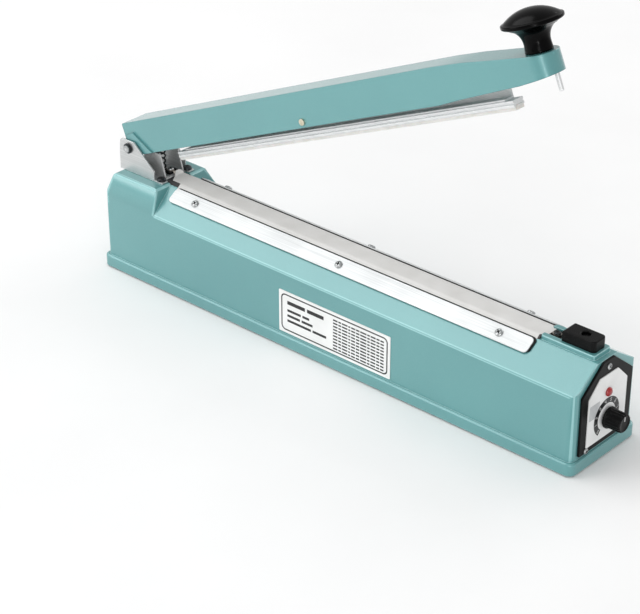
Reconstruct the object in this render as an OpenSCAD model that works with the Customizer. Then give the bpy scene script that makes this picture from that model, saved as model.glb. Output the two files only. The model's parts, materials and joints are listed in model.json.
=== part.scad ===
// Hand-operated impulse heat sealer with a 400 mm jaw, its arm standing open on its spring.
// Millimetres. X runs along the casing from the hinge end to the control panel, Y across it, Z up.
// The origin is the middle of the whole footprint, on the surface that the rubber feet stand on.

/* [Casing] */
// Length of the casing over its bottom flange
base_l = 550; // [545:1:560]
// Width of the casing over its bottom flange
base_w = 92; // [90:1:96]
// Height of the bottom flange
flange_h = 11; // [9:0.5:13]
// Plan radius of the flange corners
flange_r = 7; // [5:0.5:9]
// Step in from the flange to the walls
body_inset = 3; // [2.5:0.5:4]
// Plan radius of the wall corners
body_r = 6; // [4:0.5:8]
// Height of the shoulder where the walls turn in to the ridge
shoulder_z = 74; // [70:0.5:76]
// Rise of the sloping faces for each millimetre across
slope_k = 0.655; // [0.63:0.005:0.67]
// Half width of the flat on top of the ridge
ridge_half = 13.4; // [12.5:0.1:14]
// Thickness of the casing wall
wall = 2.5; // [2:0.1:3]

/* [Hinge end] */
// Length of the raised hinge block at its foot
turret_l = 69; // [66:1:72]
// Length lost from the hinge block between its foot and its top
turret_lean = 7; // [5:0.5:9]
// Length lost from the hinge block at its outer end
turret_tuck = 3; // [0:0.5:4]
// Height of the top of the hinge block
turret_z = 94.8; // [94:0.1:95.2]
// Half width of the top of the hinge block
turret_half = 32; // [30:0.5:34]

/* [Panel end] */
// Length of the raised pad under the switch block
pad_l = 54; // [52:1:56]
// Width of the raised pad
pad_w = 23.6; // [22:0.2:25]
// Height of the top of the raised pad
pad_z = 97.5; // [97:0.1:98]
// Height of the switch block above the pad
block_h = 10; // [9:0.5:11]
// Length of the switch block
block_l = 32.5; // [31:0.5:34]
// Width of the switch block
block_w = 17; // [16:0.5:19]

/* [Jaw] */
// Length of the cover plates and of the pressure bar
jaw_l = 413; // [405:1:415]
// Width of each cover plate, measured up the slope
plate_w = 15.4; // [14:0.2:16]
// Distance up the slope from the shoulder to the lower edge of a cover plate
plate_s = 18.8; // [18:0.1:19.2]
// Half width of the top of the heater bed
bed_half = 9.6; // [9:0.1:10]
// Thickness of the cloth over the heating element
cloth_t = 0.2; // [0.15:0.05:0.3]
// Width of the heating element
element_w = 3; // [2:0.5:5]

/* [Arm] */
// Angle that the arm stands open
arm_open = 23.75; // [20:0.25:28]
// Height of the hinge pin above the table
hinge_z = 119; // [118.5:0.1:119.5]
// Distance of the hinge pin from the end of the flange
hinge_in = 15.5; // [14:0.5:17]
// Tilt of the pressure bar, nose down, against the arm
bar_tilt = 0.3; // [0:0.05:0.4]
// Radius of the hinge pin
pin_r = 3.5; // [3:0.1:4]
// Width of the arm channel
arm_w = 33; // [31:0.5:34]
// Sheet thickness of the arm
arm_t = 1.5; // [1.2:0.1:2]
// Height of the top of the arm above the pin line
arm_top = 23; // [22:0.5:24]
// Depth of the arm's lower edges below the pin line
arm_drop = 9; // [8:0.5:9.5]
// Distance along the arm to the bend before the handle
arm_bend = 400; // [390:1:410]
// Distance along the arm to its nose
arm_nose = 512.5; // [511.5:0.5:514]
// Radius of the knob's cap
grip_r = 25.3; // [23:0.1:26]
// Height of the knob above the arm
grip_h = 34.7; // [33:0.1:38]

/* [Control panel] */
// How far the turning knob stands out past the flange
dial_out = 18; // [16:0.5:20]
// Height of the centre of the turning knob
dial_z = 39.5; // [38:0.5:41]
// Height of the pilot lamp
lamp_z = 63; // [61:0.5:64]

/* [Hidden] */
$fn = 48;
foot_proud = 1.5;
case_x = -dial_out / 2;
left_x = case_x - base_l / 2;
right_x = case_x + base_l / 2;
body_w = base_w - 2 * body_inset;
body_left = left_x + body_inset;
body_right = right_x - body_inset;
body_half = body_w / 2;
slope_deg = atan(slope_k);
ridge_z = shoulder_z + (body_half - ridge_half) * slope_k;
turret_end = left_x + turret_l;
hinge_x = left_x + hinge_in;
// Jaw
jaw_x = case_x + 4.5;
bed_z = shoulder_z + (body_half - bed_half) * slope_k;
element_t = 0.15;
cloth_z = bed_z + element_t + cloth_t;
gasket_t = 0.6;
plate_t = 1.2;
plate_screw_pitch = 175.5;
plate_screw_x = jaw_x - 1;
// Pad, switch block and its hole
pad_x = case_x + 213;
block_x = pad_x + 18.5;
block_z = pad_z + block_h;
hole_x = case_x + 249.7;
hole_r = 4;
plunger_r = 3.2;
rod_x = hole_x - 1.5;
rod_r = 2;
// Arm, measured from the hinge pin
jaw_gap = 0.3;
strip_v = cloth_z + jaw_gap - hinge_z;
strip_t = 2.7;
bar_h = 5.7;
bar_w = 13;
bar_u = 49;
bar_v = strip_v + strip_t;
holder_t = 1.5;
rod_u = rod_x - hinge_x;
rod_tip_z = block_z - 2;
rod_top_v = arm_top - 8.5 + rod_u * sin(bar_tilt);
bar_screw_u = 234.5;
bar_screw_v = -3.6;
grip_u = 497;
grip_v = arm_top - 5.5;
// Hinge bracket ears
ear_out = 21;
ear_t = 1.5;
ear_in = ear_out - ear_t;
// Spring bracket
guide_half = 12;
guide_left = hinge_x + 11;
guide_right = hinge_x + 39;
spring_x = hinge_x + 19.5;
plate_h = 1.6;
// Terminal posts of the heating element
post_left = hinge_x + 33.5;
post_right = pad_x + 9;
post_base = turret_z + plate_h + 1.5;
post_h = 2;
// Panel
bezel_t = 2;
face_t = 0.8;
face_x = body_right + bezel_t + face_t;
dial_tip = right_x + dial_out;
// Transformer and timer board
core_x = case_x - 95;
core_z = foot_proud + 1.95;
board_x = case_x + 95;

// ---- shared shapes ----

// Points that round a convex corner whose faces have outward normals at angles n1 and n2
function round_corner(p, r, n1, n2, steps = 5) =
  let (mid = (n1 + n2) / 2, centre = p - r / cos((n1 - n2) / 2) * [cos(mid), sin(mid)])
  [for (i = [0 : steps]) let (a = n1 + (n2 - n1) * i / steps) centre + r * [cos(a), sin(a)]];

// Height of the sloping face at a distance y from the middle
function slope_z(y) = shoulder_z + (body_half - abs(y)) * slope_k;

// The same outline on the other side of Y = 0, in the same order
function flipped(points) = [for (p = points) [-p[0], p[1]]];

// Mirror image of an outline about Y = 0, in the order that closes it
function mirrored(points) = [for (i = [len(points) - 1 : -1 : 0]) [-points[i][0], points[i][1]]];

// One unbroken polyhedron swept along a list of points, round in section
module swept_wire(path, r, sides = 8) {
  n = len(path);
  tangent = [for (i = [0 : n - 1]) let (d = path[min(i + 1, n - 1)] - path[max(i - 1, 0)]) d / norm(d)];
  ring = [for (i = [0 : n - 1])
    let (t = tangent[i], s = cross(t, [0, 0, 1]) / norm(cross(t, [0, 0, 1])), w = cross(s, t))
    for (k = [0 : sides - 1]) path[i] + r * (cos(360 * k / sides) * s + sin(360 * k / sides) * w)];
  skin = [for (i = [0 : n - 2], k = [0 : sides - 1])
    [i * sides + k, i * sides + (k + 1) % sides, (i + 1) * sides + (k + 1) % sides, (i + 1) * sides + k]];
  first_cap = [[for (k = [sides - 1 : -1 : 0]) k]];
  last_cap = [[for (k = [0 : sides - 1]) (n - 1) * sides + k]];
  polyhedron(ring, concat(skin, first_cap, last_cap));
}

module round_rect(l, w, r) {
  square([l - 2 * r, w], center = true);
  square([l, w - 2 * r], center = true);
  for (x = [-1, 1], y = [-1, 1])
    translate([x * (l / 2 - r), y * (w / 2 - r)])
      circle(r);
}

module slab(l, w, h, r) {
  linear_extrude(h)
    round_rect(l, w, r);
}

// An outline in Y and Z, run along X from x0 to x1
module along_x(x0, x1) {
  translate([x0, 0, 0])
    rotate([90, 0, 90])
      linear_extrude(x1 - x0)
        children();
}

// An outline in X and Z, run along Y over a width about the middle
module across_y(w) {
  translate([0, w / 2, 0])
    rotate([90, 0, 0])
      linear_extrude(w)
        children();
}

module cyl_x(r, l) {
  rotate([0, 90, 0])
    cylinder(r = r, h = l);
}

module cyl_y(r, l) {
  rotate([90, 0, 0])
    cylinder(r = r, h = l, center = true);
}

// Pan head screw that points down, its head resting on Z = 0, with a cross recess
module pan_screw(head_r, head_h, shank_r, shank_l) {
  difference() {
    union() {
      cylinder(r = head_r, h = head_h * 0.55);
      translate([0, 0, head_h * 0.55])
        cylinder(r1 = head_r, r2 = head_r * 0.6, h = head_h * 0.45);
      translate([0, 0, -shank_l])
        cylinder(r = shank_r, h = shank_l + 0.1);
    }
    for (a = [0, 90])
      rotate([0, 0, a])
        translate([-head_r * 0.55, -head_r * 0.11, head_h * 0.45])
          cube([head_r * 1.1, head_r * 0.22, head_h]);
  }
}

module hex_nut(across, h, hole_r) {
  difference() {
    cylinder(r = across / 2 / cos(30), h = h, $fn = 6);
    translate([0, 0, -1])
      cylinder(r = hole_r, h = h + 2);
  }
}

// Places its children on a sloping face: Y runs up the slope from the shoulder, Z out of it
module on_slope(side) {
  mirror([0, side > 0 ? 1 : 0, 0])
    translate([0, -body_half, shoulder_z])
      rotate([slope_deg, 0, 0])
        children();
}

// Places its children in the arm's own frame: X along the arm from the pin, Z square to it
module at_arm() {
  translate([hinge_x, 0, hinge_z])
    rotate([0, -arm_open, 0])
      children();
}

// The same frame turned with the pressure bar, level when the jaw is shut
module at_bar() {
  at_arm()
    rotate([0, bar_tilt, 0])
      children();
}

// ---- casing ----

// Cross-section of the long body: upright walls, sloping shoulders and a flat ridge
module body_section(inset) {
  w = body_half - inset;
  top = ridge_z - inset;
  k = inset * (1 / cos(slope_deg) - slope_k);
  half = [
    [w, foot_proud],
    each round_corner([w, shoulder_z - k], 3, 0, 90 - slope_deg),
    each round_corner([w - (top - shoulder_z + k) / slope_k, top], 2, 90 - slope_deg, 90)
  ];
  polygon(concat(half, mirrored(half)));
}

// Cross-section of the hinge block
module turret_section(inset) {
  w = body_half - inset;
  t = turret_half - inset;
  lean = atan((body_half - turret_half) / (turret_z - shoulder_z));
  half = [
    [w, foot_proud],
    [w, shoulder_z],
    each round_corner([t, turret_z - inset], 3, lean, 90)
  ];
  polygon(concat(half, mirrored(half)));
}

// Side view of the hinge block, its inner end leaning back
module turret_side(inset) {
  end_lean = atan(turret_lean / (turret_z - shoulder_z));
  outer_lean = atan(turret_tuck / (turret_z - shoulder_z));
  polygon([
    [turret_end - inset, foot_proud],
    [turret_end - inset, shoulder_z],
    each round_corner([turret_end - turret_lean - inset, turret_z - inset], 3, end_lean, 90),
    each round_corner([body_left + turret_tuck + inset, turret_z - inset], 4, 90, 180 - outer_lean),
    [body_left + inset, shoulder_z],
    [body_left + inset, foot_proud]
  ]);
}

module body_mass(inset) {
  intersection() {
    translate([case_x, 0, foot_proud])
      slab(base_l - 2 * (body_inset + inset), body_w - 2 * inset, 120, body_r - inset);
    union() {
      along_x(body_left, body_right)
        body_section(inset);
      intersection() {
        along_x(body_left, turret_end)
          turret_section(inset);
        across_y(base_w)
          turret_side(inset);
      }
    }
  }
}

module casing_holes() {
  // Slot for the heater bed in the end of the hinge block
  translate([turret_end - 14, -ridge_half, ridge_z])
    cube([20, 2 * ridge_half, 20]);
  // Cover plate screws
  for (side = [-1, 1], i = [-1 : 1])
    on_slope(side)
      translate([plate_screw_x + i * plate_screw_pitch, plate_s + plate_w / 2, -8])
        cylinder(r = 1.5, h = 12);
  // Hinge bracket screws
  for (p = bracket_screw_places())
    translate([p[0], p[1], turret_z - 8])
      cylinder(r = 1.9, h = 12);
  // Element terminals
  translate([post_left, 0, turret_z - 8])
    cylinder(r = 3.4, h = 12);
  translate([post_right, 0, ridge_z - 8])
    cylinder(r = 2.2, h = 20);
  // Plunger, and the seat of its spring
  translate([hole_x, 0, ridge_z - 8])
    cylinder(r = plunger_r + 0.4, h = 20);
  translate([hole_x, 0, ridge_z])
    cylinder(r = 4.9, h = 12);
  // Turning knob's shaft and pilot lamp
  translate([body_right - 8, 0, dial_z])
    cyl_x(3.6, 12);
  translate([body_right - 8, 0, lamp_z])
    cyl_x(3.6, 12);
  // Panel screws
  for (p = panel_screw_places())
    translate([body_right - 8, p[0], p[1]])
      cyl_x(1.3, 12);
  // Cord gland and fuse holder
  translate([body_left - 4, -18, 30])
    cyl_x(6.6, 12);
  translate([body_left - 4, 18, 30])
    cyl_x(6.6, 12);
}

module casing() {
  color("#74abab")
    difference() {
      union() {
        difference() {
          union() {
            translate([case_x, 0, foot_proud])
              slab(base_l, base_w, flange_h, flange_r);
            body_mass(0);
            translate([pad_x + pad_l / 2, 0, ridge_z - 4])
              slab(pad_l, pad_w, pad_z - ridge_z + 4, 3);
          }
          translate([0, 0, -0.1])
            body_mass(wall);
          translate([case_x, 0, foot_proud - 1])
            slab(base_l - 2 * wall - 1, base_w - 2 * wall - 1, 3, flange_r - wall);
        }
        // Posts for the bottom plate's screws
        for (p = bottom_screw_places())
          translate([p[0], p[1], foot_proud + 1.9])
            cylinder(r = 5, h = 14);
      }
      for (p = bottom_screw_places())
        translate([p[0], p[1], foot_proud])
          cylinder(r = 1.5, h = 12);
      // Pocket in the pad for the element's terminal
      translate([pad_x - 1, -6.5, ridge_z + 0.4])
        cube([18, 13, 10]);
      casing_holes();
    }
}

module bottom_plate() {
  color("#8f9698")
    difference() {
      translate([case_x, 0, foot_proud + 0.4])
        slab(base_l - 2 * wall - 2, base_w - 2 * wall - 2, 1.5, flange_r - wall - 0.5);
      for (i = [-4 : 4], y = [-30, 30])
        translate([case_x + i * 16, y * 0.7, foot_proud - 1])
          cube([3, 9, 6], center = true);
      for (p = bottom_screw_places())
        translate([p[0], p[1], 0])
          cylinder(r = 1.7, h = 6);
      for (p = foot_places())
        translate([p[0], p[1], 0])
          cylinder(r = 2.6, h = 6);
      for (p = frame_screw_places())
        translate([p[0], p[1], 0])
          cylinder(r = 2.05, h = 6);
    }
}

function frame_screw_places() = [for (x = [-43, 43], y = [-17, 17]) [core_x + x, y]];
function bottom_screw_places() = [for (x = [-266, 0, 266], y = [-36, 36]) [case_x + x, y]];
function bracket_screw_places() = [for (p = [[6.4, 13.5], [38.5, 16.9]], y = [-1, 1]) [hinge_x + p[0], y * p[1]]];
function foot_places() = [for (x = [-240, 240], y = [-30, 30]) [case_x + x, y]];
function panel_screw_places() = [[0, 86.5], [-25.5, 17.5], [25.5, 17.5]];

module bottom_plate_screws() {
  color("silver")
    for (p = bottom_screw_places())
      translate([p[0], p[1], foot_proud + 0.4])
        mirror([0, 0, 1])
          pan_screw(2.6, 1.1, 1.5, 8);
}

module rubber_feet() {
  color("#26282a")
    for (p = foot_places())
      translate([p[0], p[1], 0]) {
        cylinder(r1 = 7, r2 = 8, h = foot_proud + 0.35);
        cylinder(r = 2.5, h = foot_proud + 4);
        translate([0, 0, foot_proud + 2.1])
          cylinder(r1 = 3.8, r2 = 2.6, h = 2.6);
      }
}

module rating_label() {
  color("white")
    translate([case_x + 16.8, -body_half - 0.35, 35.8])
      rotate([90, 0, 0])
        translate([0, 0, -0.3])
          slab(129, 42, 0.6, 4);
}

// ---- hinge ----

function ear_outline() = [
  [-12.5, 0.1],
  [-12.5, 18],
  each round_corner([-11, 31.8], 4, 172, 90),
  each round_corner([7.5, 31.8], 4, 90, 45),
  each round_corner([33, 10], 2, 45, 0),
  [33, 0.1]
];

module hinge_bracket() {
  color("#c9cbcc")
    translate([hinge_x, 0, turret_z])
      difference() {
        union() {
          translate([-12.5, -ear_out, 0])
            cube([56, 2 * ear_out, plate_h]);
          for (y = [-1, 1])
            translate([0, y * (ear_out - ear_t / 2), 0])
              across_y(ear_t)
                polygon(ear_outline());
        }
        translate([0, 0, hinge_z - turret_z])
          cyl_y(pin_r + 0.02, 2 * ear_out + 4);
        for (p = bracket_screw_places())
          translate([p[0] - hinge_x, p[1], -1])
            cylinder(r = 2.1, h = 4);
        translate([post_left - hinge_x, 0, -1])
          cylinder(r = 3.4, h = 4);
        // Clear of the heater bed
        translate([39.9, -ridge_half - 0.3, -1])
          cube([10, 2 * ridge_half + 0.6, 4]);
      }
}

module hinge_bracket_screws() {
  color("#202124")
    for (p = bracket_screw_places())
      translate([p[0], p[1], turret_z + plate_h])
        pan_screw(4.4, 3, 1.8, 9);
}

module hinge_pin() {
  color("#b9bcbf")
    translate([hinge_x, 0, hinge_z])
      difference() {
        cyl_y(pin_r, 2 * ear_out + 7);
        for (y = [-1, 1])
          translate([0, y * (ear_out + 1.2), 0])
            difference() {
              cyl_y(pin_r + 1, 1.2);
              cyl_y(pin_r - 0.8, 2);
            }
      }
}

module pin_clips() {
  color("#1d1e20")
    for (y = [-1, 1])
      translate([hinge_x, y * (ear_out + 1.2), hinge_z])
        difference() {
          cyl_y(5, 0.9);
          cyl_y(pin_r - 0.75, 2);
          rotate([0, 150, 0])
            translate([0, -1, -1.9])
              cube([8, 2, 3.8]);
        }
}

module spring_bracket() {
  base_z = turret_z + plate_h;
  color("#bfc2c3")
    difference() {
      union() {
        translate([guide_left, -guide_half, base_z])
          cube([guide_right - guide_left, 2 * guide_half, 1.5]);
        for (y = [-1, 1])
          translate([0, y * (guide_half - 0.75), 0])
            across_y(1.5)
              polygon([
                [guide_left, base_z],
                [guide_left, base_z + 18],
                [guide_left + 3, base_z + 23],
                [guide_right - 6.5, base_z + 23],
                [guide_right, base_z]
              ]);
      }
      translate([post_left, 0, base_z - 1])
        cylinder(r = 3.4, h = 4);
    }
}

module return_spring() {
  turns = 9;
  steps = 16;
  z0 = turret_z + 4;
  z1 = hinge_z + 26;
  color("#3a3c3e")
    swept_wire([for (i = [0 : turns * steps])
      let (a = 360 * i / steps)
      [spring_x + 5.2 * cos(a), 5.2 * sin(a), z0 + (z1 - z0) * i / (turns * steps)]], 0.8);
}

module hinge_washers() {
  color("#e6e4da")
    translate([hinge_x, 0, hinge_z])
      for (y = [-1, 1])
        translate([0, y * (ear_in - 0.55), 0])
          difference() {
            cyl_y(6.5, 0.5);
            cyl_y(pin_r + 0.06, 2);
          }
}

// ---- jaw ----

module heater_bed() {
  half = [[ridge_half - 0.2, ridge_z], [bed_half, bed_z]];
  color("#2b2c2e")
    along_x(turret_end - 13, pad_x)
      polygon(concat(half, mirrored(half)));
}

// A flat strip along the bed that rises to its terminal at the hinge end, with a ring at each end
module heating_element() {
  top = post_base + post_h;
  color("#b3aea6")
    difference() {
      union() {
        across_y(element_w)
          polygon([
            [post_left, top],
            [post_left + 5, top],
            [turret_end - 12, bed_z],
            [post_right, bed_z],
            [post_right, bed_z + element_t],
            [turret_end - 12, bed_z + element_t],
            [post_left + 5, top + element_t],
            [post_left, top + element_t]
          ]);
        translate([post_left, 0, top])
          cylinder(r = 3.6, h = 0.8);
        translate([post_right, 0, bed_z])
          cylinder(r = 3.6, h = 0.8);
      }
      translate([post_left, 0, top - 1])
        cylinder(r = 1.75, h = 4);
      translate([post_right, 0, bed_z - 1])
        cylinder(r = 1.75, h = 4);
    }
}

module ptfe_cloth() {
  t = cloth_t;
  reach = 18.5;
  outer = [
    [reach, slope_z(reach) + 1.2 * t],
    [bed_half + 0.05, bed_z + 1.2 * t],
    [bed_half - 0.4, cloth_z]
  ];
  inner = [
    [reach, slope_z(reach) + 0.02],
    [bed_half + 0.02, bed_z + 0.02],
    [bed_half - 0.4, cloth_z - t]
  ];
  color("#d9d7d0")
    difference() {
      along_x(turret_end - 11.5, pad_x + 4)
        polygon(concat(outer, mirrored(outer), flipped(inner), mirrored(flipped(inner))));
      // Slanting cut at the hinge end
      translate([turret_end, 0, ridge_z - 20])
        linear_extrude(60)
          polygon([[-20, -30], [4, -30], [4, -bed_half - 0.3], [-11.5, 3.6], [-20, 3.6]]);
      // Clear of the hinge block and of the pad
      for (y = [-1, 1]) {
        translate([turret_end - 9, y * (bed_half + 10.2), ridge_z])
          cube([11, 20, 60], center = true);
        translate([pad_x + 9.6, y * 16.3, ridge_z])
          cube([20, 20, 60], center = true);
      }
    }
}

module gasket_strip(side) {
  color("#1b1c1d")
    difference() {
      on_slope(side)
        translate([jaw_x + 0.8, plate_s + plate_w / 2 + 1.4, cloth_t * 1.4])
          slab(jaw_l + 1.6, plate_w, gasket_t, 4);
      gasket_screw_holes(side);
    }
}

module gasket_screw_holes(side) {
  for (i = [-1 : 1])
    on_slope(side)
      translate([plate_screw_x + i * plate_screw_pitch, plate_s + plate_w / 2, -2])
        cylinder(r = 1.8, h = 8);
}

module front_gasket() {
  gasket_strip(-1);
}

module rear_gasket() {
  gasket_strip(1);
}

module cover_plate(side) {
  color("#e9eaea")
    difference() {
      on_slope(side)
        translate([jaw_x, plate_s + plate_w / 2, cloth_t * 1.4 + gasket_t])
          slab(jaw_l, plate_w, plate_t, 4);
      gasket_screw_holes(side);
    }
}

module front_cover_plate() {
  cover_plate(-1);
}

module rear_cover_plate() {
  cover_plate(1);
}

module cover_plate_screws() {
  color("#c4c6c8")
    for (side = [-1, 1], i = [-1 : 1])
      on_slope(side)
        translate([plate_screw_x + i * plate_screw_pitch, plate_s + plate_w / 2, cloth_t * 1.4 + gasket_t + plate_t])
          pan_screw(3.6, 1.9, 1.45, 9);
}

// Insulating block under the element's ring, with a sleeve down through the hinge block
module hinge_end_terminal() {
  color("#17181a")
    translate([post_left, 0, post_base])
      difference() {
        union() {
          slab(10, 11, post_h, 1.5);
          translate([0, 0, -9])
            cylinder(r = 3.2, h = 9.5);
        }
        translate([0, 0, -10])
          cylinder(r = 1.6, h = 14);
      }
}

module panel_end_terminal() {
  color("#17181a")
    translate([post_right, 0, ridge_z + 0.4])
      difference() {
        slab(13, 12, bed_z - ridge_z - 0.4, 1.5);
        translate([0, 0, -1])
          cylinder(r = 1.6, h = 8);
      }
}

module terminal_screws() {
  color("#c9a35a") {
    translate([post_left, 0, post_base + post_h + 0.8])
      pan_screw(3.1, 1.8, 1.55, 14);
    translate([post_right, 0, bed_z + 0.8])
      pan_screw(3.1, 1.8, 1.55, 12);
  }
}

// ---- switch ----

module switch_block() {
  color("#232426")
    difference() {
      union() {
        translate([block_x, -block_w / 2, pad_z])
          cube([block_l / 2, block_w, block_h]);
        translate([block_x + block_l / 2, 0, pad_z])
          slab(block_l, block_w, block_h, 3.5);
      }
      // Hole over the plunger, and its wider seat below
      translate([hole_x, 0, pad_z - 1])
        cylinder(r = hole_r, h = block_h + 2);
      translate([hole_x, 0, pad_z - 1])
        cylinder(r = hole_r + 1.6, h = 4.6);
      // Bevel over the end that faces the jaw
      translate([block_x, 0, block_z])
        rotate([0, 45, 0])
          cube([2.4, block_w + 2, 2.4], center = true);
    }
}

// Push button inside the block, with a collar that stops it under the block's roof
module switch_plunger() {
  color("#3a3b3d")
    translate([hole_x, 0, 0]) {
      translate([0, 0, 78])
        cylinder(r = 2.2, h = 14);
      translate([0, 0, 91])
        cylinder(r = plunger_r, h = rod_tip_z - 0.4 - 91);
      translate([0, 0, pad_z + 2.3])
        cylinder(r = hole_r + 1, h = 1);
    }
}

module plunger_spring() {
  turns = 4;
  steps = 12;
  z0 = ridge_z + 0.4;
  z1 = pad_z + 1.9;
  color("#9aa0a4")
    swept_wire([for (i = [0 : turns * steps])
      let (a = 360 * i / steps)
      [hole_x + 4.15 * cos(a), 4.15 * sin(a), z0 + (z1 - z0) * i / (turns * steps)]], 0.35, 6);
}

module microswitch() {
  color("#2a2b2d")
    translate([hole_x, 0, 0])
      rotate([0, 0, 90])
        difference() {
          union() {
            translate([-14, -5, 58])
              cube([28, 10, 16]);
            for (x = [-9, 0, 9])
              translate([x - 2, -0.4, 51])
                cube([4, 0.8, 7.5]);
          }
          for (x = [-11, 11])
            translate([x, 0, 61])
              cyl_y(1.6, 20);
          translate([0, 0, 71])
            cylinder(r = 1.9, h = 4);
        }
}

module microswitch_button() {
  color("#b3382c")
    translate([hole_x, 0, 74.2])
      cylinder(r = 1.6, h = 3.7);
}

// Hangs from the casing's roof; its two pins carry the microswitch
module microswitch_bracket() {
  roof = ridge_z - wall - 0.1;
  sheet = 1.2;
  color("#aeb2b4")
    translate([hole_x, 0, 0])
      rotate([0, 0, 90]) {
        translate([-15, 5.1, 54])
          cube([30, sheet, 30]);
        translate([-9, 5.1, 80])
          cube([18, sheet, roof - 80]);
        translate([-9, 5.1, roof - sheet])
          cube([18, 6.4, sheet]);
        for (x = [-11, 11])
          translate([x, 0.2, 61])
            cyl_y(1.55, 11.6);
      }
}

// ---- control panel ----

// Half outlines in Y and Z of the moulded surround and of the printed face
function bezel_half() = [
  each round_corner([35, 15], 2, -90, 0),
  each round_corner([35, 70.5], 3, 0, 40),
  each round_corner([8, 93], 3, 40, 90)
];
function face_half() = [
  each round_corner([26.5, 20.5], 1, -90, 0),
  each round_corner([26.5, 66], 1.5, 0, 45),
  each round_corner([12.5, 80], 1.5, 45, 90)
];

module panel_holes() {
  translate([body_right - 5, 0, dial_z])
    cyl_x(3.6, 12);
  translate([body_right - 5, 0, lamp_z])
    cyl_x(3.5, 12);
}

module panel_bezel() {
  color("#26282a")
    difference() {
      along_x(body_right + 0.05, body_right + bezel_t)
        polygon(concat(bezel_half(), mirrored(bezel_half())));
      panel_holes();
      for (p = panel_screw_places())
        translate([body_right - 5, p[0], p[1]])
          cyl_x(1.6, 12);
    }
}

module panel_face() {
  color("#f0f0ee")
    difference() {
      along_x(body_right + bezel_t, face_x)
        polygon(concat(face_half(), mirrored(face_half())));
      panel_holes();
    }
}

module panel_screws() {
  color("silver")
    for (p = panel_screw_places())
      translate([body_right + bezel_t, p[0], p[1]])
        rotate([0, 90, 0])
          pan_screw(2.4, 1.2, 1.25, 9);
}

module pilot_lamp() {
  color("#c0212d")
    translate([face_x - 6, 0, lamp_z])
      rotate([0, 90, 0])
        rotate_extrude()
          polygon(concat([[0, 0], [3.3, 0], [3.3, 6], [4, 6]],
            [for (a = [0 : 15 : 90]) [4 * cos(a), 6.8 + 2.4 * sin(a)]]));
}

module lamp_holder() {
  color("#e8e6de")
    translate([face_x - 14.1, 0, lamp_z])
      cyl_x(5, 8);
}

module potentiometer() {
  color("#8d9193")
    translate([0, 0, dial_z])
      difference() {
        union() {
          translate([body_right - wall - 11, 0, 0])
            cyl_x(8.5, 10.9);
          translate([body_right - wall - 0.2, 0, 0])
            cyl_x(3.4, 8);
          translate([body_right - wall - 9, -7, -14])
            cube([1.2, 14, 8]);
        }
        translate([body_right - wall - 9, 0, 0])
          cyl_x(2.06, 30);
      }
}

module potentiometer_nut() {
  color("#c6c9cb")
    translate([face_x + 0.05, 0, dial_z])
      rotate([0, 90, 0])
        hex_nut(9.5, 1.8, 3.45);
}

module control_shaft() {
  color("#c6c9cb")
    translate([body_right - wall - 8.5, 0, dial_z])
      cyl_x(2, 24);
}

module control_knob() {
  base_x = face_x + 2.1;
  flutes = 18;
  color("#1c1d1f")
    translate([base_x, 0, dial_z])
      difference() {
        union() {
          cyl_x(9.6, 2.4);
          translate([2.3, 0, 0])
            cyl_x(8.6, dial_tip - base_x - 3.3);
          translate([dial_tip - base_x - 1, 0, 0])
            rotate([0, 90, 0])
              cylinder(r1 = 8.6, r2 = 7.8, h = 1);
        }
        for (i = [0 : flutes - 1])
          rotate([360 * i / flutes, 0, 0])
            translate([3.5, 0, 9])
              cyl_x(0.9, 30);
        translate([-1, 0, 0])
          cyl_x(6.3, 3);
        translate([-1, 0, 0])
          cyl_x(2.01, 12);
      }
}

// ---- electrics inside the casing ----

module transformer_core() {
  color("#5c5f61")
    difference() {
      translate([core_x - 33, -24, core_z + 1.7])
        cube([66, 48, 56]);
      for (x = [-1, 1])
        translate([core_x + x * 16.5 - 5.5, -30, core_z + 12.7])
          cube([11, 60, 34]);
    }
}

module transformer_coil() {
  color("#b5703a")
    difference() {
      translate([core_x - 21.4, -33, core_z + 13.3])
        cube([42.8, 66, 32.8]);
      translate([core_x - 11.1, -24.1, core_z])
        cube([22.2, 48.2, 60]);
    }
}

module transformer_frame() {
  color("#a9adaf")
    difference() {
      union() {
        for (x = [-33.85, 33.85])
          translate([core_x + x - 0.75, -24, core_z])
            cube([1.5, 48, 59.3]);
        translate([core_x - 34.6, -24, core_z + 57.8])
          cube([69.2, 48, 1.5]);
        for (x = [-41, 41])
          translate([core_x + x - 8, -24, core_z])
            cube([16, 48, 1.5]);
      }
      for (p = frame_screw_places())
        translate([p[0], p[1], 0])
          cylinder(r = 2.1, h = 20);
    }
}

module transformer_screws() {
  color("silver")
    for (p = frame_screw_places())
      translate([p[0], p[1], core_z + 1.5])
        pan_screw(3.6, 2, 2, 3);
}

module timer_board() {
  color("#2f6b45")
    difference() {
      translate([board_x - 45, -30, foot_proud + 14])
        cube([90, 60, 1.6]);
      for (p = post_places())
        translate([p[0], p[1], 0])
          cylinder(r = 1.7, h = 40);
    }
}

function post_places() = [for (x = [-39, 39], y = [-24, 24]) [board_x + x, y]];

module board_posts() {
  color("#d8d8d4")
    for (p = post_places())
      translate([p[0], p[1], foot_proud + 1.95])
        union() {
          cylinder(r = 3.2, h = 12);
          cylinder(r = 1.6, h = 16);
        }
}

module board_parts() {
  z = foot_proud + 15.65;
  color("#303438") {
    // Relay
    translate([board_x - 30, -15, z])
      cube([22, 16, 15]);
    // Switching device on its heat sink
    translate([board_x + 14, 8, z])
      cube([20, 3, 22]);
    translate([board_x + 18, 4, z])
      cube([10, 3.9, 14]);
    // Timing capacitors
    for (x = [0, 12])
      translate([board_x + x, -14, z])
        cylinder(r = 4.5, h = 13);
    // Terminal strip
    translate([board_x - 34, 16, z])
      cube([40, 8, 9]);
  }
}

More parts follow.
